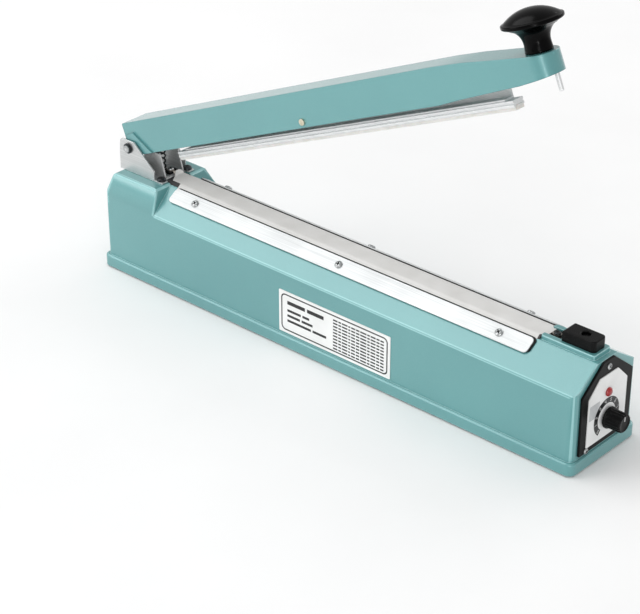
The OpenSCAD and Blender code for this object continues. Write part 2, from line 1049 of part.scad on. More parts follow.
module fuse_holder() {
  color("#1d1e20")
    translate([body_left, 18, 30])
      difference() {
        union() {
          translate([-1.6, 0, 0])
            cyl_x(8, 1.5);
          translate([-1.6, 0, 0])
            cyl_x(6.4, 30);
        }
        translate([-2, 0, 0])
          cyl_x(4.6, 26);
      }
}

module fuse_cap() {
  color("#2c2d30")
    translate([body_left - 2.6, 18, 30])
      difference() {
        union() {
          cyl_x(5.6, 1);
          cyl_x(4.4, 9);
        }
        translate([-1, -4, -0.6])
          cube([1.6, 8, 1.2]);
      }
}

module cord_gland() {
  color("#202123")
    translate([body_left, -18, 30])
      difference() {
        union() {
          translate([-2.6, 0, 0])
            cyl_x(8.6, 2.5);
          translate([-0.2, 0, 0])
            cyl_x(6.4, wall + 0.4);
          translate([wall + 0.05, 0, 0])
            cyl_x(8, 3);
        }
        translate([-4, 0, 0])
          cyl_x(3.6, 16);
      }
}

// ---- arm ----

// Side outline of the arm: straight from the hinge, then drawn in to the nose
function arm_side(inset) = [
  [-4, arm_top - inset],
  [arm_bend, arm_top - inset],
  [arm_bend + 30, arm_top - 1 - inset],
  [arm_bend + 66, arm_top - 3.7 - inset],
  [arm_nose + 1, arm_top - 6.8 - inset],
  [arm_nose + 1, -1 - 40 * inset],
  [arm_bend + 82, -arm_drop + 4.8 - 40 * inset],
  [arm_bend + 18, -arm_drop + 1.8 - 40 * inset],
  [arm_bend - 6, -arm_drop - 40 * inset],
  [20, -arm_drop - 40 * inset],
  [7.2, -6.2 - 40 * inset],
  [-5, 0]
];

// Plan of the arm: a straight channel with a half-round nose
module arm_plan(inset) {
  r = arm_w / 2 - inset;
  translate([-20, -r])
    square([arm_nose + 20 - arm_w / 2, 2 * r]);
  translate([arm_nose - arm_w / 2, 0])
    circle(r);
}

module arm_shape(inset) {
  intersection() {
    across_y(arm_w + 2)
      polygon(arm_side(inset));
    translate([0, 0, -80])
      linear_extrude(140)
        arm_plan(inset);
  }
}

module arm_channel() {
  color("#79b3b4")
    at_arm()
      difference() {
        union() {
          difference() {
            union() {
              arm_shape(0);
              cyl_y(9.3, arm_w);
            }
            arm_shape(arm_t);
            translate([-40, -arm_w / 2 + arm_t, -60])
              cube([60, arm_w - 2 * arm_t, 60 + arm_top - arm_t]);
          }
          // Raised pads round the pin
          for (y = [-1, 1])
            translate([0, y * (arm_w / 2 + 0.9), 0]) {
              cyl_y(9.3, 1.8);
              across_y(1.8)
                polygon([[-2, 9], [0, 12], [9, 13], [27, -arm_drop], [4, -8.4]]);
            }
        }
        cyl_y(pin_r + 0.06, arm_w + 10);
        // Pressure bar's cross screw
        translate([bar_screw_u, 0, bar_screw_v])
          cyl_y(2.05, arm_w + 10);
        // Handle bolt
        translate([grip_u, 0, 0])
          cylinder(r = 3.1, h = 60);
      }
}

// Strip bent to a Z: a web up into the arm, with a foot on the pressure bar
module bar_holder() {
  foot_v = bar_v + bar_h;
  web_v = 1.5;
  run = jaw_l - 19;
  color("#b9bcbd")
    difference() {
      at_bar() {
        translate([bar_u + 10, 5, foot_v])
          cube([run, holder_t, web_v - foot_v]);
        translate([bar_u + 10, -5, foot_v])
          cube([run, 11, holder_t]);
      }
      at_arm()
        translate([bar_screw_u, 0, bar_screw_v])
          cyl_y(2.05, arm_w + 10);
    }
}

module bar_screw() {
  color("#c9a86a")
    at_arm()
      translate([bar_screw_u, 0, bar_screw_v]) {
        cyl_y(2, arm_w + 2);
        translate([0, -arm_w / 2 - 0.75, 0])
          cyl_y(3, 1.4);
        translate([0, arm_w / 2 + 1.5, 0])
          rotate([90, 0, 0])
            translate([0, 0, -1.4])
              cylinder(r = 3.4, h = 2.8, $fn = 6);
      }
}

module pressure_bar() {
  color("#e3e4e5")
    at_bar()
      difference() {
        translate([bar_u, -bar_w / 2, bar_v])
          cube([jaw_l, bar_w, bar_h]);
        // Side grooves of the extrusion
        for (y = [-1, 1])
          translate([bar_u + jaw_l / 2, y * bar_w / 2, bar_v + bar_h * 0.55])
            rotate([45, 0, 0])
              cube([jaw_l + 2, 1.4, 1.4], center = true);
        // Channel that holds the silicone strip
        translate([bar_u - 1, -4, bar_v - 0.01])
          cube([jaw_l + 2, 8, 1.6]);
      }
}

module silicone_strip() {
  color("#cfc9c2")
    at_bar()
      union() {
        translate([bar_u, -5.2, strip_v])
          cube([jaw_l, 10.4, strip_t - 0.02]);
        translate([bar_u, -3.8, strip_v + 1])
          cube([jaw_l, 7.6, strip_t + 0.4]);
      }
}

// Turned knob: a waisted stem under a wide pointed cap
module handle_knob() {
  rim = 24.6;
  dome = grip_h - rim;
  lip = 2.1;
  profile = [
    [0, 0],
    [11.2, 0],
    [11.4, 0.6],
    each [for (a = [0 : 15 : 75]) [10.8 + 11.6 * (1 - cos(a)), 7 + 13.4 * sin(a)]],
    [grip_r - 2.8, rim - 2.7],
    each [for (a = [-60 : 20 : 60]) [grip_r - lip + lip * cos(a), rim - 0.4 + lip * sin(a)]],
    each [for (k = [0.93, 0.86, 0.77, 0.66, 0.54, 0.42, 0.3, 0.19, 0.1]) [k * grip_r, rim + dome * (1 - pow(k, 2.2))]],
    [0, grip_h]
  ];
  color("#1a1b1c")
    at_arm()
      translate([grip_u, 0, grip_v])
        rotate([0, 3.4, 0])
          difference() {
            rotate_extrude($fn = 64)
              polygon(profile);
            translate([0, 0, -1])
              cylinder(r = 2.95, h = 20);
          }
}

module handle_bolt() {
  color("#b9bcbf")
    at_arm()
      translate([grip_u, 0, grip_v])
        rotate([0, 3.4, 0]) {
          translate([0, 0, -6])
            cylinder(r = 2.9, h = 24);
          translate([0, 0, -6.6])
            cylinder(r = 5.2, h = 4.3, $fn = 6);
        }
}

// Pin that comes down on the plunger, held under the arm's top by two nuts
module switch_rod() {
  tip_v = rod_tip_z - hinge_z;
  color("#c4c7c9")
    at_bar()
      translate([rod_u, 0, tip_v]) {
        cylinder(r1 = rod_r - 0.5, r2 = rod_r, h = 0.6);
        translate([0, 0, 0.6])
          cylinder(r = rod_r, h = rod_top_v - tip_v - 0.6);
      }
}

module switch_rod_nuts() {
  color("#a8acae")
    at_bar()
      for (v = [rod_top_v - 3.1, rod_top_v - 6.3])
        translate([rod_u, 0, v])
          hex_nut(5.5, 3, rod_r + 0.02);
}

casing();
bottom_plate();
bottom_plate_screws();
rubber_feet();
rating_label();
hinge_bracket();
hinge_bracket_screws();
hinge_pin();
pin_clips();
spring_bracket();
return_spring();
heater_bed();
heating_element();
ptfe_cloth();
front_gasket();
rear_gasket();
front_cover_plate();
rear_cover_plate();
cover_plate_screws();
hinge_end_terminal();
panel_end_terminal();
terminal_screws();
switch_block();
switch_plunger();
plunger_spring();
microswitch();
microswitch_button();
microswitch_bracket();
panel_bezel();
panel_face();
panel_screws();
pilot_lamp();
lamp_holder();
potentiometer();
potentiometer_nut();
control_knob();
control_shaft();
transformer_core();
transformer_coil();
transformer_frame();
transformer_screws();
timer_board();
board_parts();
board_posts();
fuse_holder();
fuse_cap();
cord_gland();
arm_channel();
hinge_washers();
bar_holder();
bar_screw();
pressure_bar();
silicone_strip();
handle_knob();
handle_bolt();
switch_rod();
switch_rod_nuts();
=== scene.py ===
import json
import math

import bmesh
import bpy
from mathutils import Matrix, Vector


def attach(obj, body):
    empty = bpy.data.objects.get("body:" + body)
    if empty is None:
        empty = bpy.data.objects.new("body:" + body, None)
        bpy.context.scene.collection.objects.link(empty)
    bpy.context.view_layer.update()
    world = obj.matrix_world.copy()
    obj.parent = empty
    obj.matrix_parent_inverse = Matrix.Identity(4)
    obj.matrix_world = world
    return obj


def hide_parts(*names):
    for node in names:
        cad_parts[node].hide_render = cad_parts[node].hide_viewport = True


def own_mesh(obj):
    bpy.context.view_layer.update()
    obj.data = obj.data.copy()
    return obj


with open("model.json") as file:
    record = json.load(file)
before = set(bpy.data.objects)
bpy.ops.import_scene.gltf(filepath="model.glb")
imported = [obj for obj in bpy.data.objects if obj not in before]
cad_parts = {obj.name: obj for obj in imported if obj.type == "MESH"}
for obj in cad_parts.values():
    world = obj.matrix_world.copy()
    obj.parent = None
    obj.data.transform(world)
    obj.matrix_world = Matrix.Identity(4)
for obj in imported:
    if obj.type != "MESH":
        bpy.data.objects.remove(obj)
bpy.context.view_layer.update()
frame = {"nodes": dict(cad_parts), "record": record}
NODES = frame["nodes"]
MM = 0.001

# ---- sizes shared with the CAD model, in millimetres ----
CASE_X, RIGHT_X = -9.0, 266.0
BODY_RIGHT, BODY_HALF = 263.0, 43.0
FLANGE_TOP = 12.5
SHOULDER_Z, SLOPE_K = 74.0, 0.655
SLOPE = math.atan(SLOPE_K)
RIDGE_HALF, BED_HALF = 13.4, 9.6
RIDGE_Z = SHOULDER_Z + (BODY_HALF - RIDGE_HALF) * SLOPE_K
BED_Z = SHOULDER_Z + (BODY_HALF - BED_HALF) * SLOPE_K
TURRET_END, TURRET_Z = -215.0, 94.8
HINGE_X, HINGE_Z = -268.5, 119.0
ARM_OPEN = math.radians(23.75)
PAD_X, PAD_Z = 204.0, 97.5
HOLE_X = CASE_X + 249.7
FACE_X = 265.8
DIAL_Z, LAMP_Z = 39.5, 63.0
DIAL_TIP = RIGHT_X + 18.0
GRIP_U, GRIP_V, GRIP_R, GRIP_H = 497.0, 17.5, 25.3, 34.66
GRIP_LEAN, GRIP_RIM_Z = 3.4, 24.6
JAW_X = -4.5
PLATE_MID_S = 26.5
PLATE_SCREW_PITCH = 175.5
LABEL_LEFT, LABEL_RIGHT, LABEL_LOW, LABEL_HIGH = -56.7, 72.3, 14.8, 56.8
LABEL_MIDDLE = ((LABEL_LEFT + LABEL_RIGHT) / 2, (LABEL_LOW + LABEL_HIGH) / 2)
LABEL_HALF = ((LABEL_RIGHT - LABEL_LEFT) / 2, (LABEL_HIGH - LABEL_LOW) / 2)
LABEL_Y = -(BODY_HALF + 0.66)

# ---- camera, as angles in degrees and lengths in metres ----
CAMERA_AZIMUTH, CAMERA_ELEVATION = 41.84, 29.59
CAMERA_TARGET = (-0.047, 0.0, 0.023)
CAMERA_DISTANCE = 1.9062
CAMERA_LENS = 118.67

# ---- lights: name, place, size, watts ----
WORLD_STRENGTH = 0.58
LIGHTS = (
    ("key", (1.5, -1.75, 1.35), (0.8, 1.2), 10),
    ("top", (-1.6, -0.56, 2.4), (2.6, 1.9), 40),
    ("side", (-1.45, -1.85, 0.68), (1.3, 0.6), 11),
    ("back", (0.3, 1.9, 1.1), (1.6, 0.8), 8),
    ("strip", (1.75, -1.45, 0.22), (0.3, 0.7), 8),
)
LIGHT_AIM = (0, 0, 0.05)


# ---- camera, light and floor ----

def add_camera():
    azimuth, elevation = math.radians(CAMERA_AZIMUTH), math.radians(CAMERA_ELEVATION)
    back = Vector((math.sin(azimuth) * math.cos(elevation),
                   -math.cos(azimuth) * math.cos(elevation), math.sin(elevation)))
    data = bpy.data.cameras.new("camera")
    data.sensor_width = 36
    data.lens = CAMERA_LENS
    data.clip_end = 20
    camera = bpy.data.objects.new("camera", data)
    bpy.context.scene.collection.objects.link(camera)
    camera.location = Vector(CAMERA_TARGET) + back * CAMERA_DISTANCE
    camera.rotation_mode = "QUATERNION"
    camera.rotation_quaternion = (-back).to_track_quat("-Z", "Y")
    bpy.context.scene.camera = camera


def add_light(name, place, size, power):
    data = bpy.data.lights.new(name, "AREA")
    data.shape = "RECTANGLE"
    data.size, data.size_y = size
    data.energy = power
    light = bpy.data.objects.new(name, data)
    bpy.context.scene.collection.objects.link(light)
    light.location = place
    light.rotation_mode = "QUATERNION"
    light.rotation_quaternion = (Vector(LIGHT_AIM) - Vector(place)).to_track_quat("-Z", "Y")


def add_studio():
    world = bpy.data.worlds.new("studio")
    bpy.context.scene.world = world
    world.use_nodes = True
    background = world.node_tree.nodes["Background"]
    background.inputs["Color"].default_value = (1, 1, 1, 1)
    background.inputs["Strength"].default_value = WORLD_STRENGTH
    for light in LIGHTS:
        add_light(*light)
    bpy.context.scene.view_settings.view_transform = "Standard"


# ---- materials ----

def linear(code):
    parts = [int(code[i:i + 2], 16) / 255 for i in (0, 2, 4)]
    return [c / 12.92 if c <= 0.04045 else ((c + 0.055) / 1.055) ** 2.4 for c in parts] + [1.0]


class Shader:
    """A node material whose colour, roughness and bump come from procedural textures."""

    def __init__(self, name):
        self.material = bpy.data.materials.new(name)
        self.material.use_nodes = True
        self.tree = self.material.node_tree
        self.tree.nodes.clear()
        self.out = self.add("ShaderNodeOutputMaterial")
        self.bsdf = self.add("ShaderNodeBsdfPrincipled")
        self.link(self.bsdf.outputs["BSDF"], self.out.inputs["Surface"])
        self.coords = self.add("ShaderNodeTexCoord").outputs["Object"]

    def add(self, kind, **values):
        node = self.tree.nodes.new(kind)
        for key, value in values.items():
            if key in node.inputs:
                node.inputs[key].default_value = value
            else:
                setattr(node, key, value)
        return node

    def link(self, a, b):
        self.tree.links.new(a, b)

    def mapped(self, scale=(1, 1, 1), turn=(0, 0, 0)):
        node = self.add("ShaderNodeMapping")
        node.inputs["Scale"].default_value = scale
        node.inputs["Rotation"].default_value = turn
        self.link(self.coords, node.inputs["Vector"])
        return node.outputs["Vector"]

    def noise(self, scale, detail=4.0, vector=None, rough=0.5):
        node = self.add("ShaderNodeTexNoise")
        node.inputs["Scale"].default_value = scale
        node.inputs["Detail"].default_value = detail
        node.inputs["Roughness"].default_value = rough
        self.link(self.coords if vector is None else vector, node.inputs["Vector"])
        return node.outputs["Fac"]

    def ramp(self, value, stops):
        node = self.add("ShaderNodeValToRGB")
        ramp = node.color_ramp
        while len(ramp.elements) < len(stops):
            ramp.elements.new(0.5)
        for element, (place, colour) in zip(ramp.elements, stops):
            element.position = place
            element.color = colour
        self.link(value, node.inputs["Fac"])
        return node.outputs["Color"]

    def span(self, value, low, high, start=0.3, end=0.7):
        node = self.add("ShaderNodeMapRange")
        node.inputs["From Min"].default_value = start
        node.inputs["From Max"].default_value = end
        node.inputs["To Min"].default_value = low
        node.inputs["To Max"].default_value = high
        self.link(value, node.inputs["Value"])
        return node.outputs["Result"]

    def bump(self, height, strength, distance, under=None):
        node = self.add("ShaderNodeBump")
        node.inputs["Strength"].default_value = strength
        node.inputs["Distance"].default_value = distance
        self.link(height, node.inputs["Height"])
        if under is not None:
            self.link(under, node.inputs["Normal"])
        return node.outputs["Normal"]

    def edges(self, radius):
        node = self.add("ShaderNodeBevel")
        node.samples = 6
        node.inputs["Radius"].default_value = radius
        return node.outputs["Normal"]

    def edge_mask(self, radius, start=0.985, end=0.86):
        """1 where the surface turns within radius of an edge, 0 on the flat."""
        node = self.add("ShaderNodeVectorMath", operation="DOT_PRODUCT")
        self.link(self.edges(radius), node.inputs[0])
        self.link(self.add("ShaderNodeNewGeometry").outputs["Normal"], node.inputs[1])
        return self.span(node.outputs["Value"], 0.0, 1.0, start, end)

    def blend(self, factor, first, second):
        node = self.add("ShaderNodeMix", data_type="RGBA")
        self.link(factor, node.inputs["Factor"])
        self.link(first, node.inputs[6])
        self.link(second, node.inputs[7])
        return node.outputs[2]

    def set(self, **values):
        for key, value in values.items():
            self.bsdf.inputs[key.replace("_", " ")].default_value = value
        return self


def make_material(name, dark, light, rough=(0.4, 0.5), tone=40.0, grain=1500.0, bump=0.12,
                  depth=0.00012, edge=0.0003, wear=None, **values):
    """General finish: a slow change of colour, a fine grain in roughness and bump, softened edges.

    The tone and the grain are noise scales, the depth and the edge are metres, and wear is the
    colour of worn marks.
    """
    s = Shader(name)
    vector = s.mapped()
    slow = s.noise(tone, 5.0, vector)
    fine = s.noise(grain, 3.0, vector)
    colour = s.ramp(slow, [(0.32, linear(dark)), (0.68, linear(light))])
    if wear is not None:
        marks = s.noise(tone * 5, 8.0, s.mapped(), 0.7)
        worn = s.ramp(fine, [(0.3, linear(wear)), (0.7, linear(light))])
        colour = s.blend(s.span(marks, 0.0, 0.35, 0.6, 0.72), colour, worn)
    s.link(colour, s.bsdf.inputs["Base Color"])
    s.link(s.span(fine, rough[0], rough[1]), s.bsdf.inputs["Roughness"])
    s.link(s.bump(fine, bump, depth, s.edges(edge) if edge else None), s.bsdf.inputs["Normal"])
    s.set(**values)
    return s.material


def paint_material(name, codes, rim=("9cc8c9", "add3d4")):
    """Teal enamel: fine orange peel and a faint metal fleck.

    The codes run from the deepest to the palest colour, and rim holds the colours painted along
    the edges: pale ones as a painted highlight, dark ones as a painted shade line.
    """
    s = Shader(name)
    fleck = s.noise(5200.0, 2.0)
    cloud = s.noise(9.0, 4.0)
    peel = s.noise(520.0, 2.0)
    base = s.ramp(cloud, [(0.3, linear(codes[0])), (0.7, linear(codes[1]))])
    shine = s.ramp(peel, [(0.3, linear(codes[2])), (0.7, linear(codes[3]))])
    body = s.blend(s.span(fleck, 0.0, 0.5, 0.5, 0.8), base, shine)
    # Edge colours from rim, blended in by the edge mask: painted highlight where pale, painted shade where
    # dark
    line = s.ramp(peel, [(0.3, linear(rim[0])), (0.7, linear(rim[1]))])
    s.link(s.blend(s.edge_mask(0.0012), body, line), s.bsdf.inputs["Base Color"])
    s.link(s.span(peel, 0.34, 0.42), s.bsdf.inputs["Roughness"])
    s.link(s.bump(peel, 0.08, 0.0002, s.edges(0.0009)), s.bsdf.inputs["Normal"])
    s.set(Metallic=0.2, Coat_Weight=1.0, Coat_Roughness=0.2)
    return s.material


def brushed_material(name, dark, light, along, rough=(0.26, 0.4), metallic=1.0, bump=0.10,
                     edge=0.0003):
    """Metal brushed along a line at this angle in degrees: streaks from a stretched noise."""
    s = Shader(name)
    turn = (0, math.radians(along), 0)
    streaks = s.noise(1.0, 6.0, s.mapped((14, 1500, 1500), turn), 0.6)
    patches = s.noise(26.0, 4.0)
    s.link(s.ramp(streaks, [(0.3, linear(dark)), (0.7, linear(light))]), s.bsdf.inputs["Base Color"])
    s.link(s.span(patches, rough[0], rough[1]), s.bsdf.inputs["Roughness"])
    s.link(s.bump(streaks, bump, 0.00005, s.edges(edge)), s.bsdf.inputs["Normal"])
    s.set(Metallic=metallic)
    return s.material


def cloth_material():
    """Coated glass cloth: a fine square weave, seen through a warm grey film."""
    s = Shader("cloth")
    heights = []
    for axis in ("X", "Y"):
        wave = s.add("ShaderNodeTexWave", bands_direction=axis)
        wave.inputs["Scale"].default_value = 190.0
        wave.inputs["Distortion"].default_value = 0.6
        wave.inputs["Detail"].default_value = 1.0
        s.link(s.coords, wave.inputs["Vector"])
        heights.append(wave.outputs["Fac"])
    weave = s.add("ShaderNodeMath", operation="MULTIPLY")
    s.link(heights[0], weave.inputs[0])
    s.link(heights[1], weave.inputs[1])
    slow = s.noise(60.0, 5.0)
    low = s.ramp(slow, [(0.3, linear("d3d2cf")), (0.7, linear("dddcda"))])
    high = s.ramp(slow, [(0.3, linear("e9e8e6")), (0.7, linear("f3f2f0"))])
    s.link(s.blend(s.span(weave.outputs[0], 0.0, 0.4), low, high), s.bsdf.inputs["Base Color"])
    s.link(s.span(slow, 0.32, 0.46), s.bsdf.inputs["Roughness"])
    s.link(s.bump(weave.outputs[0], 0.25, 0.00006), s.bsdf.inputs["Normal"])
    s.set(Alpha=0.97, Subsurface_Weight=0.1)
    s.bsdf.inputs["Subsurface Radius"].default_value = (0.002, 0.002, 0.002)
    return s.material


def board_material():
    """Green solder mask with darker tracks."""
    s = Shader("board")
    brick = s.add("ShaderNodeTexBrick", offset=0.5)
    brick.inputs["Scale"].default_value = 160.0
    brick.inputs["Mortar Size"].default_value = 0.08
    brick.inputs["Color1"].default_value = linear("2b6a42")
    brick.inputs["Color2"].default_value = linear("2f7548")
    brick.inputs["Mortar"].default_value = linear("1d4a2e")
    s.link(s.coords, brick.inputs["Vector"])
    s.link(brick.outputs["Color"], s.bsdf.inputs["Base Color"])
    s.link(s.span(s.noise(900.0), 0.3, 0.45), s.bsdf.inputs["Roughness"])
    s.link(s.bump(brick.outputs["Fac"], 0.3, 0.0001), s.bsdf.inputs["Normal"])
    return s.material


def layered_material(name, dark, light, scale, direction, metallic=0.0, rough=(0.35, 0.5),
                     bump=0.5):
    """Stacked sheets or wound wire: fine parallel bands with some unevenness."""
    s = Shader(name)
    wave = s.add("ShaderNodeTexWave", bands_direction=direction)
    wave.inputs["Scale"].default_value = scale
    wave.inputs["Distortion"].default_value = 0.5
    wave.inputs["Detail"].default_value = 2.0
    s.link(s.coords, wave.inputs["Vector"])
    bands = s.ramp(wave.outputs["Fac"], [(0.1, linear(dark)), (0.8, linear(light))])
    s.link(bands, s.bsdf.inputs["Base Color"])
    s.link(s.span(s.noise(300.0), rough[0], rough[1]), s.bsdf.inputs["Roughness"])
    s.link(s.bump(wave.outputs["Fac"], bump, 0.0003), s.bsdf.inputs["Normal"])
    s.set(Metallic=metallic)
    return s.material


def make_materials():
    arm_angle = -math.degrees(ARM_OPEN)
    teal = ("559294", "5c9a9b", "7db4b5", "88bcbd")
    return {
        # Paint
        "paint": paint_material("paint", teal),
        # Arm paint with dark edge colours: a painted shade line along the arm's edges
        "paint_arm": paint_material("paint_arm", teal, ("3f7375", "4b8183")),
        # Paler copy of the paint for the casing's rounded edge strips: a painted highlight
        "paint_highlight": paint_material("paint_highlight", ("7fb6b7", "8abfc0", "a2cdce", "abd3d4")),
        # Bare metals
        "polished_plate": brushed_material(
            "polished_plate", "bcbfc0", "d9dbdb", 0.0, (0.36, 0.48), 0.5),
        "polished_bar": brushed_material(
            "polished_bar", "d0d2d3", "eeefef", arm_angle, (0.36, 0.5), 0.55),
        "steel": brushed_material("steel", "a9abac", "d6d8d8", 0.0, (0.24, 0.4)),
        "steel_arm": brushed_material(
            "steel_arm", "d2d4d4", "e8e9e9", arm_angle, (0.4, 0.55), 0.3),
        "bracket_steel": brushed_material(
            "bracket_steel", "b9bbbb", "d2d3d3", 0.0, (0.34, 0.5), 0.8, 0.05),
        "dark_steel": make_material(
            "dark_steel", "2b2d2f", "4a4d50", (0.3, 0.45), 90, 2600, 0.2, 0.0001, Metallic=0.9),
        "blackened": make_material(
            "blackened", "191a1b", "2b2d2e", (0.5, 0.6), 240, 3000, 0.1, 0.00008, edge=0),
        "zinc": make_material(
            "zinc", "8e9192", "c6c8c8", (0.22, 0.38), 240, 3000, 0.1, 0.00008, Metallic=1.0),
        "brass": make_material(
            "brass", "bdb69f", "ddd6c2", (0.25, 0.4), 200, 3000, 0.1, 0.00008, Metallic=1.0),
        "element": brushed_material("element", "8b8580", "bcb6ac", 0.0, (0.3, 0.4), edge=0.00005),
        "underside": make_material(
            "underside", "7f8688", "989fa1", (0.35, 0.5), 40, 1500, 0.1, 0.0001, Metallic=0.7,
            wear="6a7072"),
        # Plastics, rubber and cloth
        "black_gloss": make_material(
            "black_gloss", "030303", "070708", (0.14, 0.22), 30, 900, 0.02, 0.0001, edge=0,
            Specular_IOR_Level=0.07),
        "black_matte": make_material(
            "black_matte", "060606", "0c0d0d", (0.24, 0.34), 60, 2400, 0.1, 0.0001, edge=0.0005,
            Specular_IOR_Level=0.12),
        "rubber": make_material(
            "rubber", "151515", "202021", (0.6, 0.75), 90, 2200, 0.25, 0.0002, edge=0.0004),
        "silicone": make_material(
            "silicone", "d3d0cb", "e2dfdb", (0.45, 0.6), 120, 1800, 0.15, 0.0002, edge=0.0004,
            Subsurface_Weight=0.15),
        "cloth": cloth_material(),
        "phenolic": make_material(
            "phenolic", "1a1a1b", "262626", (0.4, 0.55), 80, 2600, 0.2, 0.00015),
        "ivory": make_material(
            "ivory", "cfcabd", "e2ded3", (0.35, 0.5), 70, 2200, 0.1, 0.00012),
        "washer": make_material(
            "washer", "cfccc0", "e4e1d8", (0.4, 0.55), 90, 2400, 0.1, 0.0001),
        "lamp": make_material(
            "lamp", "9d0c12", "c8151c", (0.06, 0.14), 300, 1500, 0.05, 0.0001, edge=0,
            Transmission_Weight=0.35, Coat_Weight=0.6, Coat_Roughness=0.03),
        # Label and panel
        "label": make_material(
            "label", "e3e4e3", "eff0ef", (0.3, 0.4), 25, 2600, 0.05, 0.00008, edge=0),
        "label_print": make_material(
            "label_print", "131415", "202122", (0.4, 0.5), 200, 4000, 0.05, 0.00005, edge=0),
        "panel": make_material(
            "panel", "dfe0df", "eceded", (0.26, 0.36), 25, 2600, 0.05, 0.00008, edge=0.0002),
        "panel_print": make_material(
            "panel_print", "101112", "1c1d1e", (0.3, 0.4), 200, 4000, 0.05, 0.00005, edge=0),
        "panel_grey": make_material(
            "panel_grey", "b9bcbd", "c6c8c9", (0.3, 0.4), 200, 4000, 0.05, 0.00005, edge=0),
        # Electrical parts
        "board": board_material(),
        "coil": layered_material("coil", "5d2f12", "b5703a", 260.0, "Z", 0.6, (0.25, 0.4)),
        "core": layered_material("core", "35373a", "6a6d70", 420.0, "Y", 0.7),
    }


MAT = make_materials()
SLOT_OF = {s["node"]: s["material_slot"] for s in frame["record"]["subparts"]}


# ---- mesh helpers ----

def piece(name, mesh, body, material, replaces=(), angle=30.0, flat_faces=False):
    obj = bpy.data.objects.new(name, mesh)
    bpy.context.scene.collection.objects.link(obj)
    for used in (material if isinstance(material, (list, tuple)) else [material]):
        mesh.materials.append(MAT[used])
    mesh.shade_smooth()
    mesh.set_sharp_from_angle(angle=math.radians(angle))
    if flat_faces:
        weighted = obj.modifiers.new("flat_faces", "WEIGHTED_NORMAL")
        weighted.keep_sharp = True
        weighted.weight = 100
    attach(obj, body)
    if replaces:
        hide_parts(*replaces)
    return obj


def mesh_from(name, bm):
    bmesh.ops.recalc_face_normals(bm, faces=bm.faces)
    mesh = bpy.data.meshes.new(name)
    bm.to_mesh(mesh)
    bm.free()
    return mesh


def node_bmesh(node):
    """A welded copy of a CAD node with its flat regions merged."""
    bm = bmesh.new()
    bm.from_mesh(NODES[node].data)
    bmesh.ops.remove_doubles(bm, verts=bm.verts, dist=2e-6)
    bmesh.ops.dissolve_limit(bm, angle_limit=math.radians(0.6), verts=bm.verts, edges=bm.edges,
                             delimit=set())
    return bm


def soften(bm, width, wanted, segments=3, least=25.0):
    """Bevels the convex edges that wanted(edge, middle in mm, direction) picks."""
    picked = []
    for e in bm.edges:
        if len(e.link_faces) != 2 or not e.is_convex:
            continue
        if math.degrees(e.calc_face_angle(0.0)) < least:
            continue
        a, b = e.verts[0].co, e.verts[1].co
        if wanted(e, (a + b) / 2 * 1000, (b - a).normalized()):
            picked.append(e)
    if picked:
        bmesh.ops.bevel(bm, geom=picked, offset=width * MM, offset_type="OFFSET", segments=segments,
                        profile=0.5, affect="EDGES", clamp_overlap=False, material=-1)


def bridge(bm, low, high):
    """Joins two rings of as many points with quads."""
    for i, point in enumerate(low):
        n = (i + 1) % len(low)
        bm.faces.new((point, low[n], high[n], high[i]))


def ring_of(bm, matrix, radius, height, count):
    """Points round an axis, with the radius and the height in mm."""
    ring = []
    for k in range(count):
        a = 2 * math.pi * k / count
        ring.append(bm.verts.new(matrix @ Vector((radius * MM * math.cos(a), radius * MM * math.sin(a),
                                                  height * MM))))
    return ring


def lathe(bm, profile, segments, matrix, close_start=True, close_end=True):
    """A turned form: profile is (radius, height) in mm from one end to the other."""
    rings = []
    for radius, height in profile:
        if radius < 1e-6:
            rings.append([bm.verts.new(matrix @ Vector((0, 0, height * MM)))])
        else:
            rings.append(ring_of(bm, matrix, radius, height, segments))
    for low, high in zip(rings, rings[1:]):
        if len(low) == 1 and len(high) == 1:
            continue
        if len(low) > 1 and len(high) > 1:
            bridge(bm, low, high)
            continue
        for k in range(segments):
            n = (k + 1) % segments
            bm.faces.new((low[0], high[n], high[k]) if len(low) == 1 else (low[k], low[n], high[0]))
    if close_start and len(rings[0]) > 1:
        bm.faces.new(list(reversed(rings[0])))
    if close_end and len(rings[-1]) > 1:
        bm.faces.new(rings[-1])


def rounded_box(centre, half, corner, steps):
    """Outline of a rectangle with round corners, from the right side round by the top."""
    points = []
    for k, (sx, sz) in enumerate(((1, 1), (-1, 1), (-1, -1), (1, -1))):
        for i in range(steps + 1):
            a = math.radians(90 * k + 90 * i / steps)
            points.append((centre[0] + sx * (half[0] - corner) + corner * math.cos(a),
                           centre[1] + sz * (half[1] - corner) + corner * math.sin(a)))
    return points


def aim(place, direction, spin=0.0):
    """Matrix that stands a form's Z axis along a direction at a place in mm."""
    turn = Vector(direction).to_track_quat("Z", "Y").to_matrix().to_4x4()
    return Matrix.Translation(Vector(place) * MM) @ turn @ Matrix.Rotation(spin, 4, "Z")


def arm_matrix(u=0.0, y=0.0, v=0.0, lean=0.0):
    """A place in the arm's own frame, at rest."""
    return (Matrix.Translation(Vector((HINGE_X, 0, HINGE_Z)) * MM) @ Matrix.Rotation(-ARM_OPEN, 4, "Y")
            @ Matrix.Translation(Vector((u, y, v)) * MM) @ Matrix.Rotation(math.radians(lean), 4, "Y"))


def tube(bm, path, radius, sides):
    """A round wire along points in metres, closed at both ends."""
    rings = []
    for i, p in enumerate(path):
        t = (path[min(i + 1, len(path) - 1)] - path[max(i - 1, 0)]).normalized()
        s = t.cross(Vector((0, 0, 1)))
        s = s.normalized() if s.length > 1e-6 else Vector((1, 0, 0))
        w = s.cross(t)
        ring = []
        for k in range(sides):
            a = 2 * math.pi * k / sides
            ring.append(bm.verts.new(p + radius * (math.cos(a) * s + math.sin(a) * w)))
        rings.append(ring)
    for a, b in zip(rings, rings[1:]):
        bridge(bm, a, b)
    bm.faces.new(list(reversed(rings[0])))
    bm.faces.new(rings[-1])


